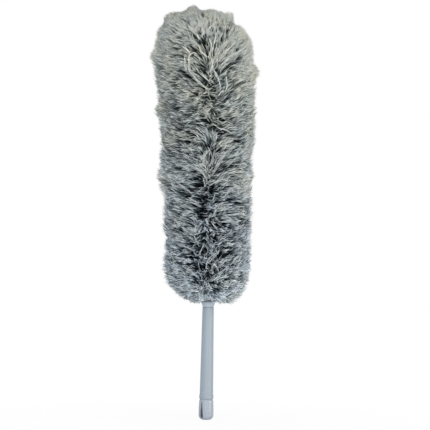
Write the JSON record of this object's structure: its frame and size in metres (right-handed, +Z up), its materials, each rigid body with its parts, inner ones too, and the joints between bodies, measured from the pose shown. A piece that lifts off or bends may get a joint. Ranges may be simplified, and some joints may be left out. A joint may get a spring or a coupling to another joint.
{
  "type": "microfibre duster",
  "caption": "Hand duster: a long bendable head of fine grey microfibre pile on a pull-off sleeve, on a slim blue-grey plastic handle with a hanging slot in its end cap.",
  "frame": {"origin": "centre of the flat end of the end cap, at the bottom of the handle", "axes": "+Z up along the handle and the straight head, towards the tip; the head bends about Y; -Y is the side seen in the picture"},
  "size_m": [0.1178, 0.1161, 0.4751],
  "materials": {
    "cap": "gloss",
    "tube": "satin",
    "collar": "satin",
    "core": "matte",
    "wire": "satin",
    "hem": "matte",
    "elastic": "matte",
    "pile": "matte"
  },
  "bodies": {
    "handle": {"end_cap": "cap", "handle_tube": "tube", "neck_collar": "collar", "core_anchor": "core", "spine_strip_0": "core", "spine_wire_front_0": "wire", "spine_wire_back_0": "wire"},
    "core_1": {"spine_strip_1": "core", "spine_wire_front_1": "wire", "spine_wire_back_1": "wire"},
    "core_2": {"spine_strip_2": "core", "spine_wire_front_2": "wire", "spine_wire_back_2": "wire"},
    "core_3": {"spine_strip_3": "core", "spine_wire_front_3": "wire", "spine_wire_back_3": "wire"},
    "core_4": {"spine_strip_4": "core", "spine_wire_front_4": "wire", "spine_wire_back_4": "wire"},
    "core_5": {"spine_strip_5": "core", "spine_wire_front_5": "wire", "spine_wire_back_5": "wire"},
    "core_6": {"spine_strip_6": "core", "spine_wire_front_6": "wire", "spine_wire_back_6": "wire", "tip_cap": "core"},
    "sleeve_0": {"hem_band": "hem", "elastic_cord": "elastic", "sleeve_pile_0": "pile"},
    "sleeve_1": {"sleeve_pile_1": "pile"},
    "sleeve_2": {"sleeve_pile_2": "pile"},
    "sleeve_3": {"sleeve_pile_3": "pile"},
    "sleeve_4": {"sleeve_pile_4": "pile"},
    "sleeve_5": {"sleeve_pile_5": "pile"},
    "sleeve_6": {"sleeve_pile_6": "pile"}
  },
  "joints": [
    {"name": "core_bend_1", "type": "hinge", "parent": "handle", "child": "core_1", "pos_m": [0, 0, 0.172], "axis": [0, 1, 0], "range_deg": [-30, 30]},
    {"name": "core_bend_2", "type": "hinge", "parent": "core_1", "child": "core_2", "pos_m": [0, 0, 0.214], "axis": [0, 1, 0], "range_deg": [-30, 30]},
    {"name": "core_bend_3", "type": "hinge", "parent": "core_2", "child": "core_3", "pos_m": [0, 0, 0.256], "axis": [0, 1, 0], "range_deg": [-30, 30]},
    {"name": "core_bend_4", "type": "hinge", "parent": "core_3", "child": "core_4", "pos_m": [0, 0, 0.298], "axis": [0, 1, 0], "range_deg": [-30, 30]},
    {"name": "core_bend_5", "type": "hinge", "parent": "core_4", "child": "core_5", "pos_m": [0, 0, 0.34], "axis": [0, 1, 0], "range_deg": [-30, 30]},
    {"name": "core_bend_6", "type": "hinge", "parent": "core_5", "child": "core_6", "pos_m": [0, 0, 0.382], "axis": [0, 1, 0], "range_deg": [-30, 30]},
    {"name": "sleeve_slide", "type": "slide", "parent": "handle", "child": "sleeve_0", "axis": [0, 0, 1], "range_m": [0, 0.3]},
    {"name": "sleeve_bend_1", "type": "hinge", "parent": "sleeve_0", "child": "sleeve_1", "pos_m": [0, 0, 0.172], "axis": [0, 1, 0], "range_deg": [-30, 30], "deforming": ["sleeve_pile_0", "sleeve_pile_1"]},
    {"name": "sleeve_bend_2", "type": "hinge", "parent": "sleeve_1", "child": "sleeve_2", "pos_m": [0, 0, 0.214], "axis": [0, 1, 0], "range_deg": [-30, 30], "deforming": ["sleeve_pile_2"]},
    {"name": "sleeve_bend_3", "type": "hinge", "parent": "sleeve_2", "child": "sleeve_3", "pos_m": [0, 0, 0.256], "axis": [0, 1, 0], "range_deg": [-30, 30], "deforming": ["sleeve_pile_3"]},
    {"name": "sleeve_bend_4", "type": "hinge", "parent": "sleeve_3", "child": "sleeve_4", "pos_m": [0, 0, 0.298], "axis": [0, 1, 0], "range_deg": [-30, 30], "deforming": ["sleeve_pile_4"]},
    {"name": "sleeve_bend_5", "type": "hinge", "parent": "sleeve_4", "child": "sleeve_5", "pos_m": [0, 0, 0.34], "axis": [0, 1, 0], "range_deg": [-30, 30], "deforming": ["sleeve_pile_5"]},
    {"name": "sleeve_bend_6", "type": "hinge", "parent": "sleeve_5", "child": "sleeve_6", "pos_m": [0, 0, 0.382], "axis": [0, 1, 0], "range_deg": [-30, 30], "deforming": ["sleeve_pile_6"]}
  ],
  "couplings": [
    {"joint": "sleeve_bend_1", "follows": "core_bend_1", "ratio": 1},
    {"joint": "sleeve_bend_2", "follows": "core_bend_2", "ratio": 1},
    {"joint": "sleeve_bend_3", "follows": "core_bend_3", "ratio": 1},
    {"joint": "sleeve_bend_4", "follows": "core_bend_4", "ratio": 1},
    {"joint": "sleeve_bend_5", "follows": "core_bend_5", "ratio": 1},
    {"joint": "sleeve_bend_6", "follows": "core_bend_6", "ratio": 1}
  ]
}
